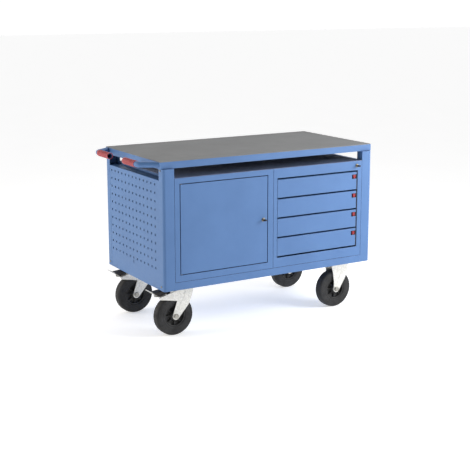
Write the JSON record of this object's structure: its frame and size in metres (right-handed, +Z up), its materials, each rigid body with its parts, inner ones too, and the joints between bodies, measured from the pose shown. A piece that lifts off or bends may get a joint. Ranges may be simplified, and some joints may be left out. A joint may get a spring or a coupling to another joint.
{
  "type": "mobile workbench with drawers",
  "caption": "Mobile workbench: grey worktop on steel posts over a cupboard and a bank of drawers, perforated ends, push handles with grips, swivel and fixed castors.",
  "frame": {"origin": "middle of the whole object's footprint, on the floor", "axes": "+X along the worktop away from the push handles, -Y to the drawers and door, +Z up"},
  "size_m": [1.3344, 0.677, 0.8805],
  "materials": {
    "blue_paint": "satin powder coat",
    "board": "raw board",
    "worktop_mat": "matt grey rubber",
    "shelf_mat": "ribbed dark grey rubber",
    "red_grip": "soft moulded",
    "red_catch": "moulded",
    "tyre": "solid rubber",
    "rim": "moulded",
    "pedal": "moulded over steel",
    "zinc": "bright zinc",
    "chrome": "polished",
    "key": "moulded bow on a steel key",
    "dark_steel": "dark",
    "steel": "zinc plated"
  },
  "bodies": {
    "bench": {"worktop_frame": "blue_paint", "worktop_board": "board", "worktop_mat": "worktop_mat", "post_front_left": "blue_paint", "post_front_right": "blue_paint", "post_rear_left": "blue_paint", "post_rear_right": "blue_paint", "handle_front": "blue_paint", "handle_rear": "blue_paint", "grip_front": "red_grip", "grip_rear": "red_grip", "base_rails": "blue_paint", "castor_beams": "blue_paint", "end_panel_left": "blue_paint", "end_panel_right": "blue_paint", "cupboard": "blue_paint", "cupboard_shelf": "blue_paint", "shelf_clips": "steel", "hinge_pins": "steel", "drawer_cabinet": "blue_paint", "drawer_rails": "zinc", "shelf_mat": "shelf_mat", "cabinet_lock_body": "chrome", "swivel_plates": "zinc", "fixed_fork_front": "zinc", "fixed_fork_rear": "zinc", "fixed_axles": "steel", "frame_bolts": "steel", "castor_bolts": "steel"},
    "door": {"door_panel": "blue_paint", "door_lock_body": "chrome"},
    "door_key": {"door_key": "key"},
    "drawer_1": {"drawer_box_1": "blue_paint", "drawer_front_1": "blue_paint"},
    "drawer_2": {"drawer_box_2": "blue_paint", "drawer_front_2": "blue_paint"},
    "drawer_3": {"drawer_box_3": "blue_paint", "drawer_front_3": "blue_paint"},
    "drawer_4": {"drawer_box_4": "blue_paint", "drawer_front_4": "blue_paint"},
    "catch_1": {"drawer_catch_1": "red_catch"},
    "catch_2": {"drawer_catch_2": "red_catch"},
    "catch_3": {"drawer_catch_3": "red_catch"},
    "catch_4": {"drawer_catch_4": "red_catch"},
    "cabinet_key": {"cabinet_key": "key"},
    "lock_bar": {"cabinet_lock_bar": "dark_steel"},
    "castor_front_left": {"swivel_fork_front": "zinc", "swivel_axle_front": "steel"},
    "castor_rear_left": {"swivel_fork_rear": "zinc", "swivel_axle_rear": "steel"},
    "wheel_front_left": {"swivel_rim_front": "rim", "swivel_tyre_front": "tyre"},
    "wheel_rear_left": {"swivel_rim_rear": "rim", "swivel_tyre_rear": "tyre"},
    "brake_front_left": {"brake_pedal_front": "pedal"},
    "brake_rear_left": {"brake_pedal_rear": "pedal"},
    "wheel_front_right": {"fixed_rim_front": "rim", "fixed_tyre_front": "tyre"},
    "wheel_rear_right": {"fixed_rim_rear": "rim", "fixed_tyre_rear": "tyre"}
  },
  "joints": [
    {"name": "door_hinge", "type": "hinge", "parent": "bench", "child": "door", "pos_m": [-0.46975, -0.3065, 0.5465], "axis": [0, 0, -1], "range_deg": [0, 110]},
    {"name": "door_key_turn", "type": "hinge", "parent": "door", "child": "door_key", "pos_m": [-0.00975, -0.3115, 0.5465], "axis": [0, -1, 0], "range_deg": [0, 90]},
    {"name": "cabinet_key_turn", "type": "hinge", "parent": "bench", "child": "cabinet_key", "pos_m": [0.56725, -0.3115, 0.773], "axis": [0, -1, 0], "range_deg": [0, 90]},
    {"name": "lock_bar_lift", "type": "slide", "parent": "bench", "child": "lock_bar", "axis": [0, 0, 1], "range_m": [0, 0.005]},
    {"name": "drawer_1_slide", "type": "slide", "parent": "bench", "child": "drawer_1", "axis": [0, -1, 0], "range_m": [0, 0.45]},
    {"name": "catch_1_press", "type": "slide", "parent": "drawer_1", "child": "catch_1", "axis": [0, 1, 0], "range_m": [0, 0.003], "stiffness_N_per_m": 300, "springref_m": -0.002},
    {"name": "drawer_2_slide", "type": "slide", "parent": "bench", "child": "drawer_2", "axis": [0, -1, 0], "range_m": [0, 0.45]},
    {"name": "catch_2_press", "type": "slide", "parent": "drawer_2", "child": "catch_2", "axis": [0, 1, 0], "range_m": [0, 0.003], "stiffness_N_per_m": 300, "springref_m": -0.002},
    {"name": "drawer_3_slide", "type": "slide", "parent": "bench", "child": "drawer_3", "axis": [0, -1, 0], "range_m": [0, 0.45]},
    {"name": "catch_3_press", "type": "slide", "parent": "drawer_3", "child": "catch_3", "axis": [0, 1, 0], "range_m": [0, 0.003], "stiffness_N_per_m": 300, "springref_m": -0.002},
    {"name": "drawer_4_slide", "type": "slide", "parent": "bench", "child": "drawer_4", "axis": [0, -1, 0], "range_m": [0, 0.45]},
    {"name": "catch_4_press", "type": "slide", "parent": "drawer_4", "child": "catch_4", "axis": [0, 1, 0], "range_m": [0, 0.003], "stiffness_N_per_m": 300, "springref_m": -0.002},
    {"name": "castor_front_swivel", "type": "hinge", "parent": "bench", "child": "castor_front_left", "pos_m": [-0.41275, -0.2105, 0.225], "axis": [0, 0, 1], "continuous": true},
    {"name": "wheel_front_left_spin", "type": "hinge", "parent": "castor_front_left", "child": "wheel_front_left", "pos_m": [-0.46975, -0.2105, 0.1], "axis": [0, 1, 0], "continuous": true},
    {"name": "brake_front_press", "type": "hinge", "parent": "castor_front_left", "child": "brake_front_left", "pos_m": [-0.48875, -0.2105, 0.2235], "axis": [0, -1, 0], "range_deg": [0, 10], "stiffness_Nm_per_rad": 5, "springref_deg": -5.73},
    {"name": "wheel_front_right_spin", "type": "hinge", "parent": "bench", "child": "wheel_front_right", "pos_m": [0.49925, -0.2105, 0.1], "axis": [0, 1, 0], "continuous": true},
    {"name": "castor_rear_swivel", "type": "hinge", "parent": "bench", "child": "castor_rear_left", "pos_m": [-0.41275, 0.2375, 0.225], "axis": [0, 0, 1], "continuous": true},
    {"name": "wheel_rear_left_spin", "type": "hinge", "parent": "castor_rear_left", "child": "wheel_rear_left", "pos_m": [-0.46975, 0.2375, 0.1], "axis": [0, 1, 0], "continuous": true},
    {"name": "brake_rear_press", "type": "hinge", "parent": "castor_rear_left", "child": "brake_rear_left", "pos_m": [-0.48875, 0.2375, 0.2235], "axis": [0, -1, 0], "range_deg": [0, 10], "stiffness_Nm_per_rad": 5, "springref_deg": -5.73},
    {"name": "wheel_rear_right_spin", "type": "hinge", "parent": "bench", "child": "wheel_rear_right", "pos_m": [0.49925, 0.2375, 0.1], "axis": [0, 1, 0], "continuous": true}
  ],
  "couplings": [
    {"joint": "cabinet_key_turn", "follows": "lock_bar_lift", "rad_per_m": 314}
  ]
}
